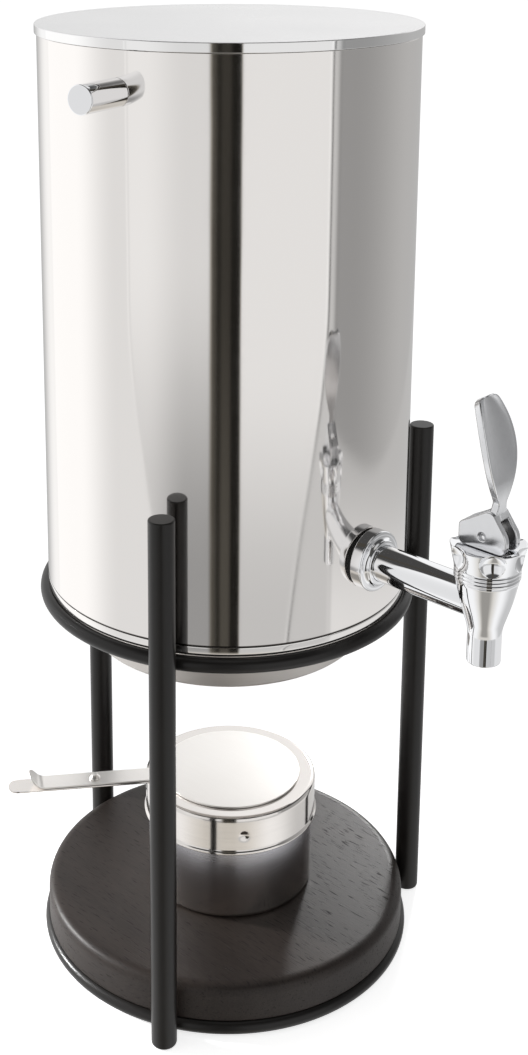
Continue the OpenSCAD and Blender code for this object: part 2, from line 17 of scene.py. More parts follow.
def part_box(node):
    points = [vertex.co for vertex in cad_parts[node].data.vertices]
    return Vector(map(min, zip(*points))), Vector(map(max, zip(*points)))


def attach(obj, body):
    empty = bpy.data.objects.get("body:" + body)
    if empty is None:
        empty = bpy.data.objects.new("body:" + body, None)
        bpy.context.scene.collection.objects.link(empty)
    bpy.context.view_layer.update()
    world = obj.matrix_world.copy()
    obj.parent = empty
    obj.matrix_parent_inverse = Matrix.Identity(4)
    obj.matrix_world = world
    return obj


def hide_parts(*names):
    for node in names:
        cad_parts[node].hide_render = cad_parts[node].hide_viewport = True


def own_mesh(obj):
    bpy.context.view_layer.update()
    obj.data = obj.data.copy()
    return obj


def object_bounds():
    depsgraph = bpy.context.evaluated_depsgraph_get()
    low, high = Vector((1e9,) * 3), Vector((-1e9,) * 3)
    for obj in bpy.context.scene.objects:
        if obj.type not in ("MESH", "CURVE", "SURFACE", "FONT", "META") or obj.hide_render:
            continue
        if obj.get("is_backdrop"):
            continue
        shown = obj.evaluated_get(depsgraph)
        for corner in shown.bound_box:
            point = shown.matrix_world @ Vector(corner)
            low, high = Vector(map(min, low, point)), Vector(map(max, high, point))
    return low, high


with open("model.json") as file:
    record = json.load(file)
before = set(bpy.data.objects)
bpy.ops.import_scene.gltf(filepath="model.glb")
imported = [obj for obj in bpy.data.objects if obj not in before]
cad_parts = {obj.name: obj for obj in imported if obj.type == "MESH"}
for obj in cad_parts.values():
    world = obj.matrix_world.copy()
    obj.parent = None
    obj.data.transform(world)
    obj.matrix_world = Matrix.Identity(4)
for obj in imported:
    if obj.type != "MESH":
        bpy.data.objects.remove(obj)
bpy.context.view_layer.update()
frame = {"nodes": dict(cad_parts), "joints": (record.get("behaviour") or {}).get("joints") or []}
scene = bpy.context.scene
scene.view_settings.view_transform = "Standard"
mm = 0.001

# %% [markdown]
# ## The camera
# A product picture is taken from a little above, with the tap turned to the right. The lens keeps uprights
# nearly parallel, and the shift moves the frame down without tilting the camera any further, as a view
# camera's sliding front does. The place and angle were worked out from edges of the stand, lid and tank.

# %% Camera
eye = Vector((-0.6636, -0.6231, 0.6708))
looking = Vector((0.6954, 0.6797, -0.2333))
lens = bpy.data.cameras.new("photo_view")
lens.lens = 54.09
lens.sensor_width = 36.0
lens.shift_x = 0.0634
lens.shift_y = -0.2725
camera = bpy.data.objects.new("photo_view", lens)
scene.collection.objects.link(camera)
camera.location = eye
camera.rotation_mode = "QUATERNION"
camera.rotation_quaternion = looking.to_track_quat("-Z", "Y")
scene.camera = camera
print("camera:", round(eye.xy.length, 3), "m from the urn's axis")

# %% [markdown]
# ## Sums on shader sockets
# Procedural finishes are sums of patterns. Adding a Math node by hand for each sum hides the idea, so one
# small class wraps a socket: a sum written in Python adds its Math node. One method adds any other node.


# %% A socket that can be added and multiplied
class Wire:
    """One output socket. Sums on it add Math nodes to its tree."""

    def __init__(self, tree, socket=None):
        self.tree = tree
        self.socket = socket

    def node(self, kind, settings=None, inputs=None, output=0):
        """Adds any node: settings first, then the values or links of its sockets."""
        made = self.tree.nodes.new(kind)
        for name, value in (settings or {}).items():
            setattr(made, name, value)
        for name, value in (inputs or {}).items():
            if isinstance(value, Wire):
                self.tree.links.new(value.socket, made.inputs[name])
            else:
                made.inputs[name].default_value = value
        return Wire(self.tree, made.outputs[output])

    def out(self, name):
        """Another output of the same node."""
        return Wire(self.tree, self.socket.node.outputs[name])

    def math(self, operation, first, second=0.0):
        return self.node("ShaderNodeMath", {"operation": operation}, {0: first, 1: second})

    def __add__(self, other):
        return self.math("ADD", self, other)

    def __sub__(self, other):
        return self.math("SUBTRACT", self, other)

    def __rsub__(self, other):
        return self.math("SUBTRACT", other, self)

    def __mul__(self, other):
        return self.math("MULTIPLY", self, other)

    def rise(self, start, end):
        """0 before start, 1 after end, and a smooth ramp between."""
        limits = {"Value": self, "From Min": start, "From Max": end}
        return self.node("ShaderNodeMapRange", {"interpolation_type": "SMOOTHSTEP"}, limits)

    def between(self, start, end, soft):
        """1 from start to end, with soft edges, and 0 outside."""
        return self.rise(start - soft, start + soft) * (1 - self.rise(end - soft, end + soft))

    def blend(self, first, second):
        """A colour from first to second as this value goes from 0 to 1."""
        return self.node("ShaderNodeMix", {"data_type": "RGBA"}, {0: self, 6: first, 7: second}, 2)

    __radd__ = __add__
    __rmul__ = __mul__


print("shader sums ready")

# %% [markdown]
# ## The studio
# A mirror has no colour of its own: what makes polished steel look right is what stands round it. Studio
# flats are described here by their direction from the object, as grey values between two compass angles.
# Only glossy rays see them, so they shape reflections and nothing else.

# %% Flats for reflections
world = bpy.data.worlds.new("studio")
scene.world = world
world.use_nodes = True
world.cycles.sampling_method = "NONE"
sky = world.node_tree
sky.nodes.clear()
direction = Wire(sky).node("ShaderNodeTexCoord", output="Generated")
east = direction.node("ShaderNodeSeparateXYZ", inputs={0: direction})
degrees = 180 / math.pi
azimuth = east.math("ARCTAN2", east, 0 - east.out("Y")) * degrees
height = east.math("ARCSINE", east.out("Z")) * degrees

# The flats from left to right: an open white side, a left flat, a dark slot, a right flat, a grey wall.
fan = (-15.5 - height).rise(0, 14.7) * 26
lift = height.rise(-25.5, -13.8)
left_side = 1 - azimuth.rise(-109 + fan, -107 + fan)
open_left = (1 - azimuth.rise(-150, -116)) * 0.3 + 0.8
slot_from = -57
slot_to = -39
slot_dark = 0.012
fan_edge = 15
left_flat = azimuth.between(-108 + fan, slot_from, 1.5)
left_tone = lift * 0.42 + 0.33 + (1 - azimuth.rise(-98, -70)) * (0.26 - lift * 0.12)
slot = azimuth.between(slot_from, slot_to, 0.7)
slot_edge = (1 - azimuth.rise(-56, -51)) * 0.07
slot_sheen = azimuth.between(-51, -45, 1.5) * (0.065 - lift * 0.035)
right_flat = azimuth.between(slot_to, fan_edge - fan, 0.8)
right_tone = height.rise(-27, -18) * 0.26 + 0.58
wedge = azimuth.between(fan_edge - fan, 21, 2.0) * 0.6
thin_line = azimuth.between(15.6 - fan, 16.6 - fan, 0.4) * 0.3
right_wall = azimuth.rise(17, 23)
bow = (azimuth - 50) * 0.0378
below = 1 - (height - bow * bow).rise(-21.9, -21.2)
wall_tone = azimuth.rise(30, 88) * 0.16 + 0.32
below_tone = 0.8 - height.rise(-27.5, -21) * 0.28
wall_tone = wall_tone * (1 - below) + below * below_tone
back_wall = azimuth.rise(112, 125)
back_tone = azimuth.rise(150, 176) * 0.5 + 0.52
flats = left_side * open_left + left_flat * left_tone + slot * (slot_edge + slot_sheen + slot_dark)
flats = flats + right_flat * right_tone + wedge * (1 - right_wall) - thin_line
flats = flats + right_wall * wall_tone * (1 - back_wall) + back_wall * back_tone
# Above eye level a pale backdrop behind, a dark ceiling with one soft box elsewhere, and below the floor.
backdrop = azimuth.between(80, 175, 12) * height.rise(-3, 3)
backdrop_tone = 1.02 - azimuth.rise(126, 142) * 0.14
flats = flats * (1 - backdrop) + backdrop * backdrop_tone
open_back = azimuth.between(100, 165, 12) * (1 - height.rise(52, 62))
open_side = (1 - azimuth.rise(-112, -100)) * (1 - height.rise(47, 54))
ceiling = height.rise(28, 40) * (1 - open_back) * (1 - open_side)
floor_glow = 1 - height.rise(-33.5, -29.5)
floor_front = azimuth.between(-100, -12, 22)
floor_shade = azimuth.between(-84, -34, 12) * 0.36 * (1 - height.rise(-42, -36))
floor_right = azimuth.between(35, 150, 25) * 0.4
floor_tone = 1.0 - floor_front * 0.3 - floor_shade - floor_right
flats = flats * (1 - floor_glow) + floor_glow * floor_tone
overhead = height.rise(64, 78) * 0.5
level = flats * (1 - ceiling) + ceiling * (overhead + 0.07)
warm_share = slot * (1 - floor_glow) + floor_glow * floor_front * 0.5
warmth = warm_share.blend((1, 1, 1, 1), (1.0, 0.92, 0.78, 1))
tinted = {"data_type": "RGBA", "blend_type": "MULTIPLY"}
reflected = level.node("ShaderNodeMix", tinted, {0: 1.0, 6: warmth, 7: level}, 2)
print("flats:", len(sky.nodes), "nodes")

# %% [markdown]
# Three skies are then mixed by the kind of ray. Camera rays see plain white, glossy rays the flats, and all
# others an even soft sky that lights the matt pieces from every side.

# %% A sky for each kind of ray
paths = direction.node("ShaderNodeLightPath", output="Is Camera Ray")
white = (1, 1, 1, 1)
soft_level = 0.36
soft_sky = direction.node("ShaderNodeBackground", inputs={"Color": white, "Strength": soft_level})
mirror_sky = direction.node("ShaderNodeBackground", inputs={"Color": reflected, "Strength": 1.0})
white_sky = direction.node("ShaderNodeBackground", inputs={"Color": white, "Strength": 1.0})
glossy = paths.out("Is Glossy Ray")
unseen = glossy.node("ShaderNodeMixShader", inputs={0: glossy, 1: soft_sky, 2: mirror_sky})
whole = glossy.node("ShaderNodeMixShader", inputs={0: paths, 1: unseen, 2: white_sky})
sky.links.new(whole.socket, sky.nodes.new("ShaderNodeOutputWorld").inputs["Surface"])
print("world:", len(sky.nodes), "nodes")

# %% [markdown]
# ## Floor and lamps
# The floor is a plain pale sheet that catches the shadow. It glows for the camera only, so it comes out
# nearly white. Mirror finishes take their picture from the flats, so the floor is kept out of glossy rays.

# %% Floor
floor_sheet = bmesh.new()
bmesh.ops.create_grid(floor_sheet, x_segments=1, y_segments=1, size=8.0)
floor_mesh = bpy.data.meshes.new("floor")
floor_sheet.to_mesh(floor_mesh)
floor_sheet.free()
floor = bpy.data.objects.new("floor", floor_mesh)
floor.location.z = -0.2 * mm
floor.visible_glossy = False
scene.collection.objects.link(floor)
pale = bpy.data.materials.new("pale_floor")
pale.use_nodes = True
pale_shader = pale.node_tree.nodes["Principled BSDF"]
pale_shader.inputs["Base Color"].default_value = (0.93, 0.93, 0.93, 1)
pale_shader.inputs["Roughness"].default_value = 0.9
pale_shader.inputs["Emission Strength"].default_value = 0.74
seen = Wire(pale.node_tree).node("ShaderNodeLightPath", output="Is Camera Ray")
glow = seen.blend((0, 0, 0, 1), white)
pale.node_tree.links.new(glow.socket, pale_shader.inputs["Emission Color"])
floor_mesh.materials.append(pale)
floor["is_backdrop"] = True
print("floor:", len(pale.node_tree.nodes), "nodes")

# %% [markdown]
# A spot from behind on the right rakes over the wood, lays the cup's shadow on it and brings out the sheen
# of its lacquer. A low spot on the left lights the wood's rim there. Both cones end below the tank, which
# would mirror them. A large weak lamp fills the matt pieces, and is kept out of glossy rays.


# %% Lamps
def lamp(data, bearing, distance, rise, target):
    """Hangs a lamp at a compass bearing from the tap and points it at a target."""
    turn = math.radians(bearing)
    place = Vector((math.sin(turn) * distance, -math.cos(turn) * distance, rise))
    lit = bpy.data.objects.new(data.name, data)
    lit.location = place
    lit.rotation_mode = "QUATERNION"
    lit.rotation_quaternion = (Vector(target) - place).to_track_quat("-Z", "Y")
    lit.visible_glossy = data.type == "SPOT"
    scene.collection.objects.link(lit)


def spot(name, power, cone, softness):
    """A spot lamp whose light fades from the middle of its cone to the edge."""
    data = bpy.data.lights.new(name, "SPOT")
    data.energy = power
    data.spot_size = math.radians(cone)
    data.spot_blend = 1.0
    data.shadow_soft_size = softness
    return data


raking = spot("spot_back_right", power=90, cone=8.4, softness=0.12)
lamp(raking, bearing=117, distance=1.5, rise=0.75, target=(0.085, -0.065, -0.02))
rim_light = spot("spot_left", power=500, cone=7.5, softness=0.15)
lamp(rim_light, bearing=-150, distance=1.5, rise=0.5, target=(-0.1, 0.05, 0.02))
fill = bpy.data.lights.new("fill_left", "AREA")
fill.energy = 4
fill.size = 1.4
lamp(fill, bearing=-130, distance=1.6, rise=1.2, target=(0, 0, 0.15))
print("lamps: 2 spots and a fill")

# %% [markdown]
# ## Finishes
# Each finish starts from one Principled shader. Values that stay the same all over go straight onto its
# sockets, and only what really changes over the surface is wired: grain, fine scratches and small dents,
# and painted shade at the tank's seam and under the burner's collar.
# Patterns read Object coordinates, which are metres in the same frame as the CAD.


# %% A finish to start from
def new_finish(name, **constants):
    """A material, its shader and its Object coordinates. Constant names use _ for spaces."""
    material = bpy.data.materials.new(name)
    material.use_nodes = True
    tree = material.node_tree
    shader = tree.nodes["Principled BSDF"]
    for socket, value in constants.items():
        shader.inputs[socket.replace("_", " ")].default_value = value
    place = Wire(tree).node("ShaderNodeTexCoord", output="Object")
    return material, shader, place


def feed(shader, socket, wire):
    """Links a wire to one socket of a shader."""
    wire.tree.links.new(wire.socket, shader.inputs[socket])


def upward(place):
    """The height in Object coordinates, in metres."""
    return place.node("ShaderNodeSeparateXYZ", inputs={0: place}, output="Z")


def stretched(place, scale):
    """Object coordinates stretched along their axes, for brushed lines and wood grain."""
    return place.node("ShaderNodeMapping", inputs={"Vector": place, "Scale": scale})


def noise(place, scale, detail=2.0, roughness=0.5):
    sockets = {"Vector": place, "Scale": scale, "Detail": detail, "Roughness": roughness}
    return place.node("ShaderNodeTexNoise", inputs=sockets)


def bump(height_wire, distance, strength=1.0):
    sockets = {"Height": height_wire, "Distance": distance, "Strength": strength}
    return height_wire.node("ShaderNodeBump", inputs=sockets)


def tell(material):
    """Prints a finish and how many nodes it took."""
    print(material.name, "-", len(material.node_tree.nodes), "nodes")


print("finish helpers ready")

# %% [markdown]
# ### Mirror-polished steel
# The tank is rolled sheet, polished to a mirror. Two things keep it from looking like perfect glass: the
# sheet is very slightly wavy, so straight reflections wander, and the polishing leaves hairlines. A dark
# line is painted in the seam at the foot of the wall, as painted shade where the wall meets the pan.
# The wheel never reached the inside, so there the sheet keeps the dull white bloom of the mill.

# %% Polished steel
wall_low, wall_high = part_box("tank_shell")
polished, shader, place = new_finish("mirror_steel")
up = upward(place)
above_seam = up.rise(wall_low.z + 0.7 * mm, wall_low.z + 1.3 * mm)
flat_place = stretched(place, (1, 1, 0))
from_axis = place.node("ShaderNodeVectorMath", {"operation": "LENGTH"}, {0: flat_place}, "Value")
outer_skin = from_axis.rise(wall_high.x - 0.9 * mm, wall_high.x - 0.4 * mm)
# The dark line at the foot of the wall is painted shade in the seam, not a colour of the steel.
seam_shade_line = above_seam.blend((0.05, 0.045, 0.04, 1), (0.90, 0.873, 0.85, 1))
feed(shader, "Base Color", outer_skin.blend((0.62, 0.61, 0.59, 1), seam_shade_line))
feed(shader, "Metallic", outer_skin * 0.6 + 0.4)
hairlines = noise(stretched(place, (30, 30, 1400)), 1.0, 3.0)
smears = noise(place, 18.0, 3.0)
feed(shader, "Roughness", hairlines * 0.05 + smears * 0.05 + 0.015 + (1 - outer_skin) * 0.35)
waves = noise(stretched(place, (16, 16, 9)), 1.0, 2.0)
feed(shader, "Normal", bump(waves, 0.12 * mm))
tell(polished)

# %% [markdown]
# ### Lid steel
# The lid's flat top has a fine satin grain and its rim is polished, all in one pressing. One material does
# both, with a mask that reads the height: satin above the rounded edge, polished below it.

# %% Lid steel
lid_low, lid_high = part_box("lid_cover")
lid_steel, shader, place = new_finish("lid_steel", Metallic=1.0)
up = upward(place)
flat_top = up.rise(lid_high.z - 0.8 * mm, lid_high.z - 0.1 * mm)
grain = noise(stretched(place, (260, 900, 60)), 1.0, 4.0, 0.7)
cloud = noise(place, 11.0, 3.0)
feed(shader, "Roughness", flat_top * (grain * 0.18 + cloud * 0.1 + 0.12) + 0.05)
shade = flat_top * (grain * 0.5 + cloud * 0.3)
feed(shader, "Base Color", shade.blend((0.9, 0.895, 0.89, 1), (0.74, 0.74, 0.75, 1)))
feed(shader, "Normal", bump(grain * flat_top, 0.02 * mm))
print("lid steel: satin above", round(lid_high.z - 0.8 * mm, 4), "m")

# %% [markdown]
# ### Chrome
# The tap and the pegs are chrome plated: brighter and a little bluer than steel, and nearly free of grain.
# A trace of orange peel in the plating softens the reflections.

# %% Chrome
chrome, shader, place = new_finish("bright_chrome", Metallic=1.0, Base_Color=(0.90, 0.905, 0.92, 1))
feed(shader, "Roughness", noise(place, 60.0, 2.0) * 0.04 + 0.015)
feed(shader, "Normal", bump(noise(place, 90.0, 1.0), 0.02 * mm))
tell(chrome)

# %% [markdown]
# ### Cast chrome
# The lever is plated over a casting that was only tumbled, not polished. Its chrome is softer and a shade
# darker, so flat faces look evenly grey and only the rounded rims catch the light.

# %% Cast chrome
cast_chrome, shader, place = new_finish("cast_chrome", Metallic=1.0)
tumbled = noise(place, 240.0, 3.0)
feed(shader, "Base Color", tumbled.blend((0.82, 0.825, 0.84, 1), (0.74, 0.745, 0.76, 1)))
feed(shader, "Roughness", tumbled * 0.08 + 0.16)
feed(shader, "Normal", bump(tumbled, 0.01 * mm))
tell(cast_chrome)

# %% [markdown]
# ### Burner steel and satin steel
# The burner's cup and collar are thin drawn sheet with a soft polish, warmer than the chrome. Below the
# collar the cup's wall is rougher, and is painted darker and cooler as shade from the collar, less towards
# its foot.
# A mask by height does both. The damper was left satin, with faint lines from the sheet mill.

# %% Burner steel
burner_steel, shader, place = new_finish("burner_steel", Metallic=1.0)
drawn = noise(stretched(place, (30, 30, 700)), 1.0, 3.0)
wipe = noise(place, 30.0, 3.0)
up = upward(place)
cup_low, cup_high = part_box("fuel_cup")
collar_low, collar_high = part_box("fuel_collar")
lip_z = collar_low.z
# Under the collar the cup's wall is painted darker and cooler as shade from the collar, and is also made
# rougher.
collar_shade = up.rise(cup_low.z, lip_z) * (1 - up.rise(lip_z - 0.2 * mm, lip_z))
feed(shader, "Roughness", drawn * 0.05 + wipe * 0.06 + 0.06 + collar_shade * 0.16)
clean = (drawn * 0.4 + wipe * 0.6).blend((0.90, 0.865, 0.83, 1), (0.80, 0.765, 0.74, 1))
feed(shader, "Base Color", collar_shade.blend(clean, (0.70, 0.69, 0.725, 1)))
feed(shader, "Normal", bump(wipe, 0.03 * mm))
tell(burner_steel)

# %% Satin steel
satin, shader, place = new_finish("satin_sheet", Metallic=1.0)
lines = noise(stretched(place, (900, 60, 150)), 1.0, 2.0)
wipe = noise(place, 22.0, 2.0)
feed(shader, "Roughness", lines * 0.05 + wipe * 0.06 + 0.26)
worn = lines * 0.4 + wipe * 0.6
feed(shader, "Base Color", worn.blend((0.97, 0.945, 0.915, 1), (0.90, 0.872, 0.84, 1)))
feed(shader, "Normal", bump(lines, 0.002 * mm))
tell(satin)

# %% [markdown]
# ### Pan steel
# The pan's bottom is brushed in the lathe, so its fine lines run round it. Its rolled bead was polished
# with the tank. The mask between the two reads the height of the bead.

# %% Pan steel
pan_low, pan_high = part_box("tank_pan")
bead_low = pan_low.z + 34 * mm
pan_steel, shader, place = new_finish("pan_steel", Metallic=1.0)
up = upward(place)
polished_bead = up.rise(bead_low + 0.2 * mm, bead_low + 1.2 * mm)
rings = noise(stretched(place, (25, 25, 900)), 1.0, 3.0, 0.6)
feed(shader, "Roughness", (1 - polished_bead) * (rings * 0.15 + 0.3) + 0.06)
steel_share = polished_bead + rings * 0.3
feed(shader, "Base Color", steel_share.blend((0.68, 0.645, 0.615, 1), (0.90, 0.88, 0.86, 1)))
feed(shader, "Normal", bump(rings * (1 - polished_bead), 0.02 * mm))
print("pan steel: polished above", round(bead_low, 4), "m")

# %% [markdown]
# ### Powder coat
# The stand is steel rod, baked in black powder. The coat flows a little as it bakes and keeps a fine
# pebble, which spreads the highlights along the rods.

# %% Powder coat
coat, shader, place = new_finish("black_powder_coat", Specular_IOR_Level=0.36)
pebble = noise(place, 1500.0, 2.0)
patches = noise(place, 40.0, 2.0)
feed(shader, "Base Color", patches.blend((0.011, 0.010, 0.009, 1), (0.018, 0.016, 0.015, 1)))
feed(shader, "Roughness", patches * 0.1 + 0.27)
feed(shader, "Normal", bump(pebble, 0.02 * mm))
tell(coat)

# %% [markdown]
# ### Dark wood
# The base is an open-pored wood, stained nearly black and sealed with a thin satin lacquer. Its pores are
# short dark dashes along the grain, which runs towards the tap. The stain lies darker in the pores, and
# slow bands of growth rings show through between them.

# %% Dark wood
wood, shader, place = new_finish("stained_wood", Specular_IOR_Level=0.38)
bands = noise(stretched(place, (55, 5, 40)), 1.0, 3.0)
fibres = noise(stretched(place, (1300, 90, 900)), 1.0, 3.0, 0.65)
dashes = noise(stretched(place, (1150, 110, 900)), 1.0, 1.0).rise(0.6, 0.72)
stain = (bands * 0.45 + fibres * 0.55).rise(0.3, 0.7)
ground = stain.blend((0.021, 0.0150, 0.0125, 1), (0.043, 0.0325, 0.0275, 1))
feed(shader, "Base Color", (dashes * 0.8).blend(ground, (0.012, 0.009, 0.008, 1)))
feed(shader, "Roughness", fibres * 0.14 + dashes * 0.2 + 0.38)
feed(shader, "Normal", bump(fibres * 0.45 - dashes * 0.5, 0.09 * mm))
tell(wood)

# %% [markdown]
# ### Rubber
# The washers and the seat cup are moulded rubber: matt, nearly black, with a dusty bloom.

# %% Rubber
rubber, shader, place = new_finish("moulded_rubber", Specular_IOR_Level=0.3)
bloom = noise(place, 220.0, 3.0)
feed(shader, "Base Color", bloom.blend((0.012, 0.012, 0.012, 1), (0.035, 0.034, 0.033, 1)))
feed(shader, "Roughness", bloom * 0.2 + 0.6)
feed(shader, "Normal", bump(bloom, 0.03 * mm))
tell(rubber)

# %% [markdown]
# ## Turning and settling
# Most pieces were turned, drawn or bent from rod and sheet, so most meshes start as an outline that is
# spun round the Z axis. Corners of the outline are eased first, because no real edge is perfectly sharp and
# a bright line along the edge is what tells the eye that it is metal.


# %% Helpers for turned pieces
def in_mm(lengths):
    """Millimetres as metres."""
    return [length * mm for length in lengths]


def only_verts(geom):
    """The points among what an operator gives back."""
    return [item for item in geom if isinstance(item, bmesh.types.BMVert)]


def everything(bm):
    """All points, edges and faces of a bmesh."""
    return bm.verts[:] + bm.edges[:] + bm.faces[:]


def eased(outline, reach, steps=5, closed=False):
    """The outline with its corners made small curves. reach is one length, or one for each corner."""
    points = [Vector(point) for point in outline]
    if closed:
        points = [points[-1]] + points + [points[0]]
    inner = len(points) - 2
    reaches = reach if isinstance(reach, list) else [reach] * inner
    curve = [] if closed else [points[0]]
    for index, size in enumerate(reaches):
        before, corner, after = points[index:index + 3]
        back = before - corner
        onward = after - corner
        cut = min(size, back.length * 0.49, onward.length * 0.49)
        start = corner + back.normalized() * cut
        end = corner + onward.normalized() * cut
        for step in range(steps + 1):
            share = step / steps
            pull = 2 * share * (1 - share)
            curve.append(start * (1 - share) ** 2 + corner * pull + end * share ** 2)
    return curve if closed else curve + [points[-1]]


def spun(bm, steps):
    """Spins everything in bm round Z: an eighth turn first, which is then doubled three times."""
    eighth = {"cent": (0, 0, 0), "axis": (0, 0, 1), "angle": math.pi / 4, "steps": steps // 8}
    bmesh.ops.spin(bm, geom=bm.verts[:] + bm.edges[:], **eighth)
    for share in (8, 4, 2):
        copy = bmesh.ops.duplicate(bm, geom=everything(bm))["geom"]
        turn = Matrix.Rotation(2 * math.pi / share, 3, "Z")
        bmesh.ops.rotate(bm, matrix=turn, verts=only_verts(copy))
    bmesh.ops.remove_doubles(bm, verts=bm.verts, dist=0.001 * mm)
    return bm


def turned(outline, steps=192, closed=False):
    """A new bmesh: the outline of radius and height spun once round Z."""
    bm = bmesh.new()
    rim = [bm.verts.new((point[0], 0, point[1])) for point in outline]
    for pair in zip(rim, rim[1:]):
        bm.edges.new(pair)
    if closed:
        bm.edges.new((rim[-1], rim[0]))
    return spun(bm, steps)


print("turning helpers ready")

# %% [markdown]
# A turned mesh is moved to its place, and joined to others where one piece has several solids. It is then
# settled: it gets its normals and its finish, rides on its body and takes the place of its CAD nodes.


# %% Helpers for placing and settling
def moved(bm, place):
    """The bmesh, put in its place by a matrix."""
    bmesh.ops.transform(bm, matrix=place, verts=bm.verts)
    return bm


def joined(bm, other):
    """Adds another bmesh to bm and frees it."""
    carrier = bpy.data.meshes.new("carrier")
    other.to_mesh(carrier)
    other.free()
    bm.from_mesh(carrier)
    bpy.data.meshes.remove(carrier)
    return bm


def settle(bm, name, body, nodes, material, sharp=35):
    """Makes a bmesh into a finished piece that rides on a body and stands for CAD nodes."""
    bmesh.ops.recalc_face_normals(bm, faces=bm.faces)
    mesh = bpy.data.meshes.new(name)
    bm.to_mesh(mesh)
    bm.free()
    mesh.shade_smooth()
    mesh.set_sharp_from_angle(angle=math.radians(sharp))
    mesh.materials.append(material)
    piece = bpy.data.objects.new(name, mesh)
    scene.collection.objects.link(piece)
    piece.modifiers.new("even_normals", "WEIGHTED_NORMAL").keep_sharp = True
    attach(piece, body)
    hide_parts(*nodes)
    print(name, "-", len(mesh.polygons), "faces")
    return piece


print("settling helpers ready")

# %% [markdown]
# ## The stand
# Three steel rods stand on the floor. Each was cut to length and its ends were broken with a file before
# coating, a little more at the foot. The tops are flat, and catch the light as pale discs.

# %% Posts
foot_round = 2 * mm
top_round = 1 * mm
post_places = []
for node in ("post_front_left", "post_front_right", "post_rear"):
    low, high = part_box(node)
    middle = (low + high) / 2
    radius = (high.x - low.x) / 2
    outline = [(0, low.z), (radius, low.z), (radius, high.z), (0, high.z)]
    post = turned(eased(outline, [foot_round, top_round], 6), 72)
    moved(post, Matrix.Translation((middle.x, middle.y, 0)))
    settle(post, node + "_rod", "stand", [node], coat, 50)
    post_places.append((Vector((middle.x, middle.y)), radius))

# %% [markdown]
# Two hoops of thinner rod hold the posts together. A hoop is a circle of rod bent round and welded shut,
# so its mesh is a small circle spun round the axis. A weld bead bridges the narrow gap to each post. It is
# turned too, with the ripples that a welder leaves, and laid along the line from the axis to the post.

# %% Hoops with welds
rod_d = 8.8 * mm


def hoop(node):
    """The bmesh of one hoop and its three welds."""
    low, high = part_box(node)
    tube = rod_d / 2
    ring_r = high.x - tube
    level = high.z - tube
    bm = bmesh.new()
    section = bmesh.ops.create_circle(bm, segments=40, radius=tube)["verts"]
    upright = Matrix.Rotation(math.pi / 2, 4, "X")
    bmesh.ops.transform(bm, matrix=Matrix.Translation((ring_r, 0, level)) @ upright, verts=section)
    spun(bm, 256)
    for centre, radius in post_places:
        reach = centre.length - radius - ring_r + 1.2 * mm
        ripple = [(0, 0.1), (4.1, 0.12), (3.9, 0.3), (3.2, 0.45), (3.6, 0.55), (3.1, 0.65), (3.7, 0.76)]
        outline = [(r * mm, share * reach) for r, share in ripple]
        outline += [(4.5 * mm, 0.9 * reach), (4.4 * mm, reach), (0, reach)]
        bead = turned(eased(outline, 0.5 * mm, 3), 32)
        lay = Vector((centre.x, centre.y, 0)).to_track_quat("Z", "Y").to_matrix().to_4x4()
        start = centre.normalized() * ring_r
        joined(bm, moved(bead, Matrix.Translation((start.x, start.y, level)) @ lay))
    return bm


settle(hoop("support_ring"), "support_hoop", "stand", ["support_ring"], coat, 50)

# %% [markdown]
# The lower hoop also carries three flat lugs for the screws of the wooden base. They were cut from bar and
# welded to its inner side, out of sight under the wood.


# %% Lower hoop with lugs
def bevelled(bm, edges, offset, segments):
    """Rounds the given edges of a bmesh."""
    shape = {"segments": segments, "profile": 0.5, "affect": "EDGES", "material": -1}
    bmesh.ops.bevel(bm, geom=edges, offset=offset, **shape)


lower = hoop("base_ring")
wood_low, wood_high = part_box("base_disc")
lug_end_r = 110.6 * mm
lug_gap = 0.1 * mm
lug_size = Vector((16 * mm, 34 * mm, 3 * mm))
for turn in (0, 120, 240):
    lug = bmesh.new()
    bmesh.ops.create_cube(lug, size=1.0)
    bmesh.ops.scale(lug, vec=lug_size, verts=lug.verts)
    bevelled(lug, lug.edges[:], 0.5 * mm, 2)
    middle = (0, -lug_end_r + lug_size.y / 2, wood_low.z - lug_gap - lug_size.z / 2)
    swing = Matrix.Rotation(math.radians(turn), 4, "Z")
    joined(lower, moved(lug, swing @ Matrix.Translation(middle)))
settle(lower, "base_hoop", "stand", ["base_ring"], coat, 50)

# %% [markdown]
# The base is a disc turned from a solid plank. Its upper edge is a full, soft bullnose and the lower edge
# only has its corner broken, where it lies on the hoop.

# %% Wooden base
radius = wood_high.x
outline = [(0, wood_low.z), (radius, wood_low.z), (radius, wood_high.z), (0, wood_high.z)]
disc = turned(eased(outline, [1.2 * mm, 7 * mm], 10), 192)
settle(disc, "wooden_disc", "stand", ["base_disc"], wood)

# %% [markdown]
# ## The urn
# The tank's wall is a rolled and seamed sheet. The mesh has an outer and an inner skin and a rounded brim,
# with many steps round the axis because a mirror finish would show every facet.

# %% Tank wall
tank_r = wall_high.x
sheet = 1.2 * mm
inner = tank_r - sheet
outline = [(tank_r, wall_low.z), (tank_r, wall_high.z), (inner, wall_high.z), (inner, wall_low.z)]
wall = turned(eased(outline, [0.8 * mm, 0.45 * mm, 0.4 * mm, 0.4 * mm], 4, True), 320, True)
settle(wall, "tank_wall", "urn", ["tank_shell"], polished)

# %% [markdown]
# The pan below is pressed from a second sheet. A rolled bead covers the seam to the wall and stands on the
# hoop, and the dished bottom hangs through the hoop over the flame. The pan is brushed, so its sheen is
# soft, while the bead was polished together with the wall.

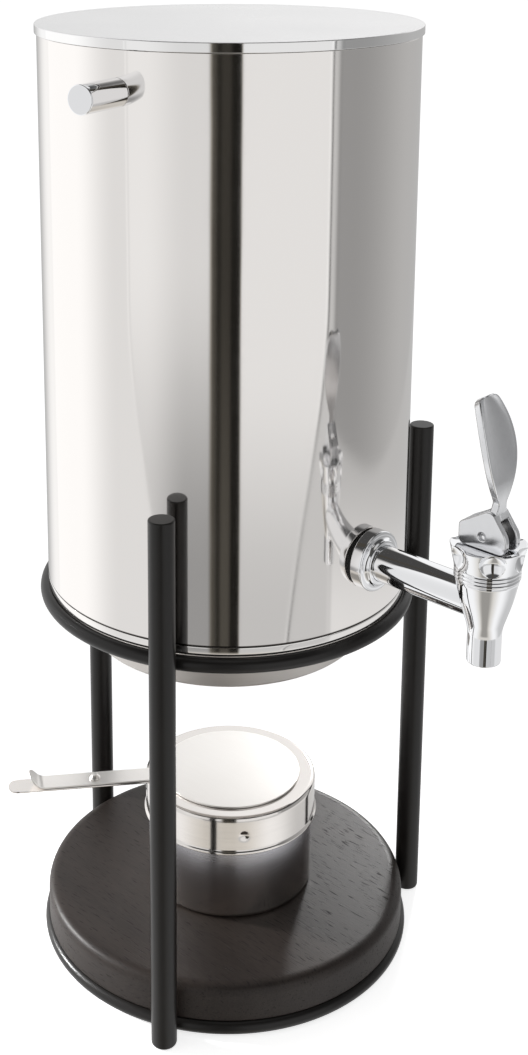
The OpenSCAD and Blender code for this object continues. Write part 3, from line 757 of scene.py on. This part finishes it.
# %% Pan with rolled bead
bead_high = wall_low.z - 0.1 * mm
outer_side = [(0, pan_low.z), (81 * mm, pan_low.z), (85 * mm, pan_low.z + 2.4 * mm)]
outer_side += [(103.5 * mm, bead_low)]
bead = [(tank_r, bead_low), (tank_r, bead_high), (108.7 * mm, bead_high)]
lip = [(108.7 * mm, pan_high.z), (107.5 * mm, pan_high.z), (107.5 * mm, bead_low + sheet)]
slope = [(102.3 * mm, bead_low + sheet), (83.8 * mm, pan_low.z + 3.6 * mm)]
bottom = [(79.8 * mm, pan_low.z + sheet), (0, pan_low.z + sheet)]
reaches = [0.8, 2, 1, 2.2, 2.2, 0.3, 0.3, 0.3, 1, 1, 2, 0.8]
outline = outer_side + bead + lip + slope + bottom
pan = turned(eased(outline, in_mm(reaches), 4), 320)
settle(pan, "brushed_pan", "urn", ["tank_pan"], pan_steel)

# %% [markdown]
# The lid is a flat cover with an upright rim. The pressing leaves a small radius where the top turns down.

# %% Lid
lid_r = lid_high.x
rim_in = lid_r - 1.3 * mm
under = lid_high.z - 1.5 * mm
outline = [(0, lid_high.z), (lid_r, lid_high.z), (lid_r, lid_low.z)]
outline += [(rim_in, lid_low.z), (rim_in, under), (0, under)]
cover = turned(eased(outline, [0.9 * mm, 0.3 * mm, 0.3 * mm, 0.5 * mm], 5), 320)
settle(cover, "lid_top", "lid", ["lid_cover"], lid_steel)

# %% [markdown]
# Two plain pegs carry the urn. Each is a chromed bar with a crisp flat end, screwed on from inside.

# %% Carrying pegs
peg_l = 30.9 * mm
for node in ("peg_left", "peg_right"):
    low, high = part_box(node)
    middle = (low + high) / 2
    outward = Vector((middle.x, middle.y, 0)).normalized()
    radius = (high.z - low.z) / 2
    root = tank_r + 0.1 * mm
    end = tank_r + peg_l
    outline = [(0, root), (radius, root), (radius, end), (0, end)]
    peg = turned(eased(outline, [0.3 * mm, 0.8 * mm], 4), 96)
    lay = outward.to_track_quat("Z", "Y").to_matrix().to_4x4()
    moved(peg, Matrix.Translation((0, 0, middle.z)) @ lay)
    settle(peg, node + "_bar", "urn", [node], chrome)

# %% [markdown]
# ## The tap
# The tap is cast and plated. A stepped flange presses a rubber washer against the tank. Both are turned
# round the shank, which points away from the tank. The flange's back is cupped a little, so that only a
# dark line of the washer shows, and the washer's own back lies on the round wall.

# %% Flange and washer
flange_low, flange_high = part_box("tap_flange")
shank_z = (flange_low.z + flange_high.z) / 2
facing = Matrix.Translation((0, 0, shank_z)) @ Matrix.Rotation(math.pi / 2, 4, "X")
start = -flange_high.y
outline = [(10.5, -1.5), (17.5, -1.5), (17.5, 6.0), (14.6, 6.0), (13.4, 7.2), (12.8, 9.0), (10.5, 9.0)]
outline = [(r * mm, start + along * mm) for r, along in outline]
reaches = [0.2, 0.6, 1.6, 0.6, 0.8, 0.9, 0.2]
flange = turned(eased(outline, in_mm(reaches), 5, True), 128, True)
settle(moved(flange, facing), "flange_ring", "urn", ["tap_flange"], chrome)
face = start - 1.55 * mm
bore_r = 10.5 * mm
washer_r = 16.4 * mm
outline = [(bore_r, tank_r), (washer_r, tank_r), (washer_r, face), (bore_r, face)]
washer = moved(turned(outline, 128, True), facing)
for vert in washer.verts:
    if vert.co.y > -face + 0.1 * mm:
        vert.co.y = -math.sqrt(tank_r ** 2 - vert.co.x ** 2) - 0.05 * mm
settle(washer, "tap_washer", "urn", ["tap_outer_gasket"], rubber)

# %% [markdown]
# The body is one casting: a round shank, a chamber and a nozzle that tapers down. The shank runs into the
# chamber, so the two turned solids overlap inside. The nozzle is bored, and its mouth is bevelled.

# %% Tap body
tap_y = -190 * mm
tap_axis = Vector((0, tap_y, 0))
shank_r = 10.4 * mm
shank_from = 109 * mm
shank_to = 186 * mm
outline = [(0, shank_from), (shank_r, shank_from), (shank_r, shank_to), (0, shank_to)]
casting = moved(turned(eased(outline, 0.3 * mm, 2), 96), facing)
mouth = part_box("tap_body")[0].z
outside = [(5.5, 0), (9.3, 0), (9.3, 19.5), (14.6, 36), (17.2, 48), (17.2, 49.5), (12.9, 49.5)]
inside = [(12.9, 58.5), (10.2, 58.5), (10.2, 34), (5.5, 22)]
outline = [(r * mm, mouth + up * mm) for r, up in outside + inside]
reaches = [0.5, 0.8, 4, 8, 1, 0.3, 0.3, 0.4, 0.4, 1, 1]
chamber = turned(eased(outline, in_mm(reaches), 6, True), 160, True)
joined(casting, moved(chamber, Matrix.Translation(tap_axis)))
settle(casting, "tap_casting", "urn", ["tap_body"], chrome)

# %% [markdown]
# The bonnet screws down on the body. It is turned with fine grooves and flares at the top, and six round
# scoops are milled into the flare below the rim. In the mesh each point that lies inside a scoop's ball is
# pushed in along the scoop's own direction, onto the ball.

# %% Bonnet
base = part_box("tap_bonnet")[0].z
flare_in = 13.5 * mm


def divided(outline, step_at):
    """The closed outline with extra points, no further apart than the step at each place."""
    points = []
    for first, second in zip(outline, outline[1:] + outline[:1]):
        cuts = max(1, math.ceil((second - first).length / step_at(first)))
        points += [first.lerp(second, share / cuts) for share in range(cuts)]
    return points


def flare_step(point):
    """Short steps on the flare, which the scoops cut, and long ones elsewhere."""
    return 0.4 * mm if point.y > base + 6 * mm and point.x > flare_in else 6 * mm


band = [(13.1, 0), (17.8, 0), (17.8, 0.9), (17.2, 1.6)]
band += [(17.8, 2.3), (17.8, 2.8), (17.2, 3.5), (17.8, 4.2)]
crown = [(17.8, 4.9), (17.2, 5.6), (17.9, 6.3), (20.6, 18.9), (14, 16.3), (4.1, 16.3)]
recess = [(4.1, 10.8), (13.1, 10.8)]
reaches = [0.2, 0.4, 0.15, 0.2, 0.2, 0.2, 0.2, 0.15, 0.2, 0.2, 0.2, 0.9, 1.5, 0.4, 0.3, 0.3]
outline = [(r * mm, base + up * mm) for r, up in band + crown + recess]
soft = eased(outline, in_mm(reaches), 3, True)
bonnet = turned(divided(soft, flare_step), 304, True)
ball_r = 9 * mm
ball_out = 24 * mm
ball_up = 12.9 * mm
upper = [vert for vert in bonnet.verts if vert.co.z > base + 5.5 * mm]
flare = [vert for vert in upper if vert.co.xy.length > flare_in]
first_scoop = 11
scoop_step = 60
for turn in range(first_scoop, 360, scoop_step):
    bearing = math.radians(turn)
    outward = Vector((math.sin(bearing), -math.cos(bearing), 0))
    ball = outward * ball_out + Vector((0, 0, base + ball_up))
    for vert in flare:
        gap = vert.co - ball
        if gap.length < ball_r:
            along = -gap.dot(outward)
            across = (gap + outward * along).length
            vert.co -= outward * (math.sqrt(ball_r ** 2 - across ** 2) - along)
moved(bonnet, Matrix.Translation(tap_axis))
settle(bonnet, "bonnet_crown", "urn", ["tap_bonnet"], chrome, 30)

# %% [markdown]
# The lever is one casting too. Its fork straddles the stem: the side outline is filled up to the pin's
# hole, thickened to one cheek, closed over the top and mirrored. A round cam at its foot rides on the
# bonnet, so the lever lifts the stem as it tilts.

# %% Lever fork
pin_low, pin_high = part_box("lever_pin")
pin_z = (pin_low.z + pin_high.z) / 2
half = 7 * mm
slot_half = 3.3 * mm
hole_r = 2.1 * mm
corners = [(-15, -7.4), (15, -7.4), (15, 2.6), (6, 14.5), (2, 14.5), (-7, 9), (-15, 4.5)]
reaches = [4, 5, 3, 1.6, 1.6, 4, 2]
outline = eased([(out * mm, up * mm) for out, up in corners], in_mm(reaches), 8, True)
fork = bmesh.new()
rim = [fork.verts.new((-half, tap_y - out, pin_z + up)) for out, up in outline]
border = [fork.edges.new(pair) for pair in zip(rim, rim[1:] + rim[:1])]
hole = bmesh.ops.create_circle(fork, segments=32, radius=hole_r)["verts"]
stand_up = Matrix.Translation((-half, tap_y, pin_z)) @ Matrix.Rotation(math.pi / 2, 4, "Y")
bmesh.ops.transform(fork, matrix=stand_up, verts=hole)
hole_edges = [edge for edge in fork.edges if edge not in border]
bmesh.ops.bridge_loops(fork, edges=border + hole_edges)
thick = bmesh.ops.extrude_face_region(fork, geom=fork.faces[:])["geom"]
bmesh.ops.translate(fork, vec=(half - slot_half, 0, 0), verts=only_verts(thick))
roof = pin_z + 10 * mm
back = tap_y + 8 * mm
for point, across in (((0, 0, roof), (0, 0, 1)), ((0, back, 0), (0, 1, 0))):
    bmesh.ops.bisect_plane(fork, geom=everything(fork), plane_co=point, plane_no=across)


def closes_slot(middle):
    """True over the slot's roof or behind it, on the cheek's inner side."""
    return abs(middle.x + slot_half) < 0.01 * mm and (middle.z > roof or middle.y > back)


bridge = [f for f in fork.faces if closes_slot(f.calc_center_median()) and abs(f.normal.x) > 0.9]
thick = bmesh.ops.extrude_face_region(fork, geom=bridge)["geom"]
bmesh.ops.translate(fork, vec=(slot_half, 0, 0), verts=only_verts(thick))
middle_faces = [f for f in fork.faces if abs(f.calc_center_median().x) < 0.01 * mm]
bmesh.ops.delete(fork, geom=middle_faces, context="FACES")
bmesh.ops.mirror(fork, geom=everything(fork), axis="X", merge_dist=0.01 * mm)
bmesh.ops.remove_doubles(fork, verts=fork.verts, dist=0.005 * mm)
bmesh.ops.recalc_face_normals(fork, faces=fork.faces)
bmesh.ops.dissolve_limit(fork, angle_limit=math.radians(1), verts=fork.verts, edges=fork.edges)
rims = [e for e in fork.edges if len(e.link_faces) == 2 and e.calc_face_angle() > math.radians(60)]
bevelled(fork, rims, 0.9 * mm, 4)
print("fork:", len(fork.faces), "faces")

# %% [markdown]
# The paddle rises from the fork. It is a curved leaf: a grid laid along an arc, narrow at the neck and
# broad above, thickened, and dished on the side where the thumb pulls. A bevel rounds its edges.

# %% Lever paddle
hub_up = 28.2 * mm
hub = Vector((0, -103.3 * mm, pin_z + hub_up))
sweep_r = 92.8 * mm
first_turn = -11.0
last_turn = 30.0
half_thick = 2.2 * mm
corner_r = 3.2 * mm
neck_half = 3.4 * mm
root_high = 22 * mm
root_l = 12 * mm
leaf_r = 54 * mm
leaf_mid = 51 * mm
leaf_in = 40.5 * mm
rim_w = 1.3 * mm
dish_depth = 1.9 * mm
paddle = bmesh.new()
bmesh.ops.create_grid(paddle, x_segments=20, y_segments=60, size=0.5)
grown = bmesh.ops.extrude_face_region(paddle, geom=paddle.faces[:], use_keep_orig=True)["geom"]
front = set(only_verts(grown))
for vert in paddle.verts:
    turn = math.radians(first_turn + (last_turn - first_turn) * (vert.co.y + 0.5))
    up = hub_up + math.sin(turn) * sweep_r
    leaf = math.sqrt(max(0, leaf_r ** 2 - (up - leaf_mid) ** 2)) - leaf_in
    root = max(0, min(1, (root_high - up) / root_l))
    half_width = max(leaf, neck_half + neck_half * root ** 2)
    to_end = corner_r - (0.5 - vert.co.y) * sweep_r * math.radians(last_turn - first_turn)
    if to_end > 0:
        half_width -= corner_r - math.sqrt(corner_r ** 2 - to_end ** 2)
    side = vert.co.x * 2
    reach = sweep_r - half_thick
    if vert in front:
        dish = max(0, 1 - (side * half_width / (half_width - rim_w)) ** 2)
        fade = max(0, min(1, (math.degrees(turn) - 2) / 10))
        reach = sweep_r + half_thick - dish_depth * dish * fade
    vert.co = hub + Vector((side * half_width, -math.cos(turn) * reach, math.sin(turn) * reach))
bmesh.ops.recalc_face_normals(paddle, faces=paddle.faces)
rims = [e for e in paddle.edges if e.calc_face_angle() > math.radians(50)]
bevelled(paddle, rims, 0.9 * mm, 4)
settle(joined(fork, paddle), "lever_casting", "lever", ["tap_lever"], cast_chrome, 40)

# %% [markdown]
# The pin is a short bar pressed through both cheeks. Its ends are dished and lie a little inside the
# holes, so each shows as a dark spot with a bright rim.

# %% Lever pin
pin_r = (pin_high.z - pin_low.z) / 2
end = pin_high.x - 0.7 * mm
half_bar = [(0, end - 0.8 * mm), (1.2 * mm, end - 0.4 * mm), (1.6 * mm, end), (pin_r, end - 0.2 * mm)]
outline = half_bar + [(r, -along) for r, along in reversed(half_bar)]
pin = turned(eased(outline, 0.15 * mm, 3), 48)
moved(pin, Matrix.Translation((0, tap_y, pin_z)) @ Matrix.Rotation(math.pi / 2, 4, "Y"))
settle(pin, "lever_pin_bar", "stem", ["lever_pin"], chrome)

# %% [markdown]
# Inside the tap a coil spring sits on the stem's collar and pushes the seat shut. One round section of wire
# is spun seven times while it climbs. When the lever lifts the stem, the coil has to shorten under the
# bonnet. The share of its length that it keeps is worked out from the stem's travel.


# %% Closing spring
def joint_named(name):
    """One joint's entry in the frame."""
    return next(joint for joint in frame["joints"] if joint["name"] == name)


spring_low, spring_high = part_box("tap_spring")
wire_r = 0.8 * mm
coil_turns = 7
steps = coil_turns * 32
climb = spring_high.z - spring_low.z - 2 * wire_r
coil = bmesh.new()
section = bmesh.ops.create_circle(coil, segments=12, radius=wire_r)["verts"]
start = Matrix.Translation((spring_high.x - wire_r, 0, spring_low.z + wire_r))
bmesh.ops.transform(coil, matrix=start @ Matrix.Rotation(math.pi / 2, 4, "X"), verts=section)
winding = {"cent": (0, 0, 0), "axis": (0, 0, 1), "angle": coil_turns * 2 * math.pi, "steps": steps}
bmesh.ops.spin(coil, geom=coil.verts[:] + coil.edges[:], dvec=(0, 0, climb / steps), **winding)
bmesh.ops.holes_fill(coil, edges=coil.edges, sides=12)
moved(coil, Matrix.Translation(tap_axis))
spring = settle(coil, "closing_spring", "stem", ["tap_spring"], satin)
stem_travel = joint_named("stem_lift")["range_m"][1]
free = spring_high.z - spring_low.z
shortened = (free - stem_travel - 0.05 * mm) / free
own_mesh(spring)
print("spring keeps", round(shortened, 3), "of its length with the tap open")

# %% [markdown]
# ## The burner
# The fuel cup is drawn from thin sheet. It stands on the wood, turned so that its handle points out
# between two posts. The handle's direction is the direction in which the burner draws out.

# %% Fuel cup
handle_way = Vector(joint_named("burner_draw")["axis"]).normalized()
on_base = Vector((2.453, -1.896, 0)) * mm
facing_handle = Matrix.Rotation(math.atan2(handle_way.x, -handle_way.y), 4, "Z")
burner = Matrix.Translation(on_base) @ facing_handle
cup_r = 52.4 * mm
outside = [(0, cup_low.z), (cup_r, cup_low.z), (cup_r, cup_high.z)]
inside = [(cup_r - sheet, cup_high.z), (cup_r - sheet, cup_low.z + sheet), (0, cup_low.z + sheet)]
outline = outside + inside
cup = turned(eased(outline, [3 * mm, 0.4 * mm, 0.4 * mm, 2 * mm], 6), 192)
settle(moved(cup, burner), "drawn_cup", "burner", ["fuel_cup"], burner_steel)

# %% [markdown]
# The collar drops over the cup. It is a shallow pressed cap with a flame hole in the top, a small rolled
# lip below and four dimples that grip the cup. Each dimple is pressed inwards: the mesh's points near its
# middle are moved in, most in the middle and less towards its edge.

# %% Collar
top = collar_high.z
collar_r = 54.2 * mm
collar_in = 53 * mm
flame_r = 32 * mm
lip_r = collar_r + 1.0 * mm
outer = [(flame_r, top), (collar_r, top), (collar_r, lip_z + 2.4 * mm)]
outer += [(lip_r, lip_z + 1.3 * mm), (lip_r, lip_z)]
under = [(collar_in, lip_z), (collar_in, top - sheet), (flame_r, top - sheet)]
reaches = [0.3, 2.4, 0.5, 0.4, 0.4, 0.3, 1.2, 0.3]
soft = eased(outer + under, in_mm(reaches), 5, True)
collar = turned(divided(soft, lambda point: 1.0 * mm), 360, True)
dimple_z = 90.5 * mm
dimple_r = 4 * mm
dimple_depth = 0.7 * mm
near = [vert for vert in collar.verts if abs(vert.co.z - dimple_z) < 5 * mm]
for turn in (0, 90, 180, 270):
    bearing = math.radians(turn)
    dimple = Vector((math.sin(bearing) * collar_r, -math.cos(bearing) * collar_r, dimple_z))
    for vert in near:
        gap = (vert.co - dimple).length
        if gap < dimple_r:
            side_way = Vector((vert.co.x, vert.co.y, 0)).normalized()
            vert.co -= side_way * dimple_depth * (1 - (gap / dimple_r) ** 2) ** 2
print("collar:", len(collar.faces), "faces, 4 dimples")

# %% [markdown]
# A flat strip runs out from the collar's top as its handle. It is cut from sheet with a round end, so its
# outline is filled once, lifted to the sheet's thickness, and its edges are broken. It lies a hair inside
# the sheet that it joins, so that no two faces coincide.


# %% Handle strip
def strip(outline, low, high):
    """A flat sheet with eased edges, from its outline seen from above."""
    bm = bmesh.new()
    loop = [bm.verts.new((point[0], point[1], low)) for point in outline]
    sheet_face = bm.faces.new(loop)
    grown = bmesh.ops.extrude_face_region(bm, geom=[sheet_face])["geom"]
    bmesh.ops.translate(bm, vec=(0, 0, high - low), verts=only_verts(grown))
    bmesh.ops.recalc_face_normals(bm, faces=bm.faces)
    rims = [e for e in bm.edges if e.calc_face_angle() > math.radians(60)]
    bevelled(bm, rims, 0.3 * mm, 2)
    return bm


strip_half = 7 * mm
strip_from = -48 * mm
strip_end = -141.5 * mm
hair = 0.02 * mm
end_r = strip_half * 0.98
corners = [(-strip_half, strip_from), (strip_half, strip_from)]
corners += [(strip_half, strip_end), (-strip_half, strip_end)]
end_round = eased(corners, [0.2 * mm, 0.2 * mm, end_r, end_r], 10, True)
joined(collar, strip(end_round, top - sheet + hair, top - hair))
settle(moved(collar, burner), "pressed_collar", "collar", ["fuel_collar"], burner_steel)

# %% [markdown]
# The damper is a round plate on an arm of its own. It swings on the rivet to shut the flame hole, and its
# rounded end curls up as a thumb tab. The flat strip is cut across every millimetre first, and its points
# are then laid along an arc, as the sheet would be bent over a bar.

# %% Damper
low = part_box("damper")[0].z
plate_r = 44.2 * mm
outline = [(0, low), (plate_r, low), (plate_r, low + sheet), (0, low + sheet)]
plate = turned(eased(outline, [0.3 * mm, 0.35 * mm], 4), 256)
arm_from = -40 * mm
arm_end = -132 * mm
arm = [(-strip_half, arm_from), (strip_half, arm_from), (strip_half, arm_end), (-strip_half, arm_end)]
arm_round = eased(arm, [0.1 * mm, 0.1 * mm, end_r, end_r], 10, True)
tab = strip(arm_round, low + hair, low + sheet - hair)
first_cut = 118
bend_from = first_cut * mm
bend_r = 9 * mm
bend_cuts = 9
full = math.radians(48)
for cut in range(first_cut, first_cut + bend_cuts):
    line = (0, -cut * mm, 0)
    bmesh.ops.bisect_plane(tab, geom=everything(tab), plane_co=line, plane_no=(0, 1, 0))
for vert in tab.verts:
    along = -vert.co.y - bend_from
    if along > 0:
        turn = min(along / bend_r, full)
        straight = along - turn * bend_r
        inside_r = bend_r - (vert.co.z - low)
        vert.co.y = -bend_from - math.sin(turn) * inside_r - straight * math.cos(turn)
        vert.co.z = low + bend_r - math.cos(turn) * inside_r + straight * math.sin(turn)
joined(plate, tab)
settle(moved(plate, burner), "damper_plate", "damper", ["damper"], satin)

# %% [markdown]
# The rivet holds the damper to the collar's strip and lets it turn. One turned outline makes both heads,
# domed above and flat below.

# %% Rivet
rivet_out = -87 * mm
foot_r = 3.4 * mm
stem_r = 1.9 * mm
rivet_low, rivet_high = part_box("damper_rivet")
dome = low + sheet + 0.05 * mm
under = top - sheet - 0.1 * mm
tail = [(0, rivet_low.z), (foot_r, rivet_low.z), (foot_r, under), (stem_r, under), (stem_r, dome)]
head = [(3.5 * mm, dome), (3.5 * mm, dome + 0.6 * mm), (1.8 * mm, rivet_high.z), (0, rivet_high.z)]
reaches = [0.6, 0.2, 0.1, 0.1, 0.2, 0.3, 1.4]
rivet = turned(eased(tail + head, in_mm(reaches), 5), 48)
moved(rivet, burner @ Matrix.Translation((0, rivet_out, 0)))
settle(rivet, "rivet_head", "collar", ["damper_rivet"], satin)

# %% [markdown]
# ## Pieces kept from the CAD
# Screws, nut, stem, inner washer, seat cup and the lid's skirt are hidden. Their CAD meshes are good enough
# as they are, and only take the finish of their material slot.

# %% Finishes on kept pieces
kept = {satin: ["lid_skirt", "base_screws", "peg_screws", "tap_stem"]}
kept[chrome] = ["tap_nut"]
kept[rubber] = ["tap_inner_gasket", "tap_seat_cup"]
for material, nodes in kept.items():
    for node in nodes:
        frame["nodes"][node].data.materials.clear()
        frame["nodes"][node].data.materials.append(material)
    print(material.name, "on", ", ".join(nodes))

# %% [markdown]
# ## Last look at the size
# The box round the dressed model is measured.

# %% Sizes and finish
low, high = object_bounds()
